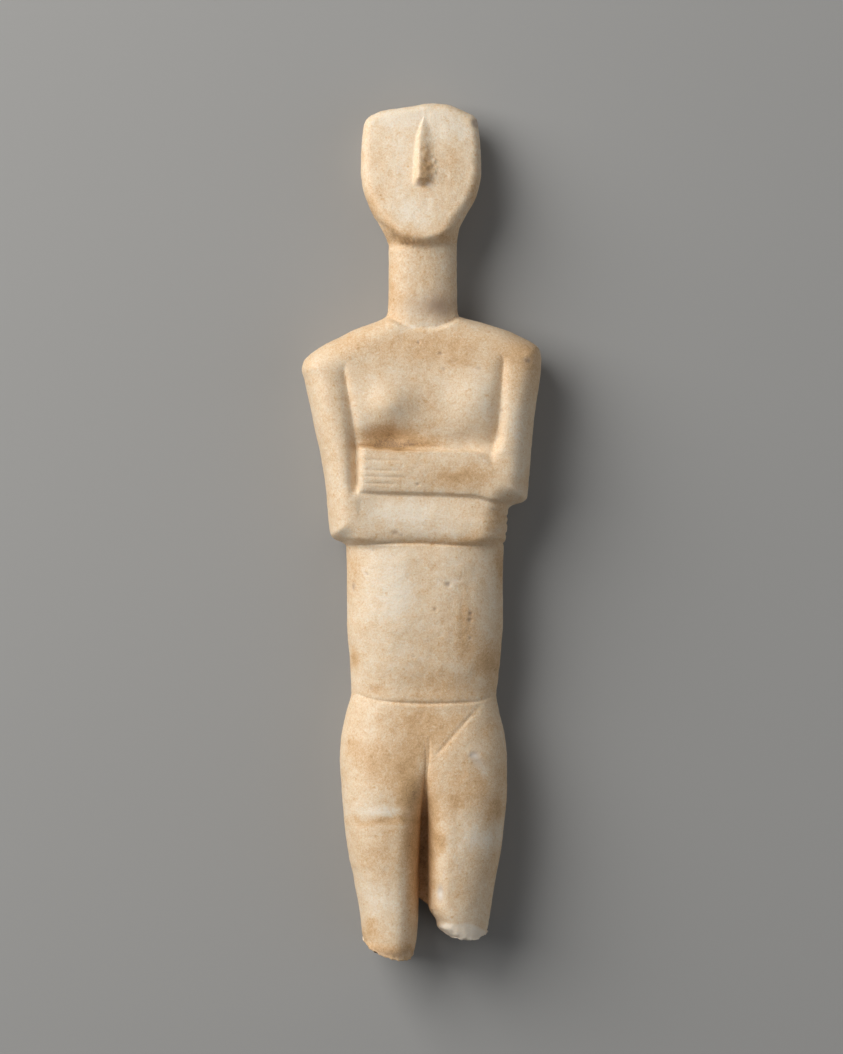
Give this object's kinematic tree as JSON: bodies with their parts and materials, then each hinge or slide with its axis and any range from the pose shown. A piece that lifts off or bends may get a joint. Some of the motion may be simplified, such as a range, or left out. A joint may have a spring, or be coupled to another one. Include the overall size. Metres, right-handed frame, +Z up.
{
  "type": "cycladic figurine",
  "caption": "Marble female figurine with folded arms, flat tilted face with a long nose, broken off at the knees, lying on its back.",
  "frame": {"origin": "centre of the bounding box in plan, at the ground on which the figurine lies", "axes": "+Y towards the crown of the head, +X to the right as one looks down on the figure's front, +Z up, out of the figure's front"},
  "size_m": [0.07, 0.25, 0.025],
  "materials": {
    "marble": "worn fine-grained white marble with a warm cream and ochre patina, matt, with whiter fresh breaks"
  },
  "bodies": {
    "root": {"figurine": "marble"}
  },
  "joints": []
}
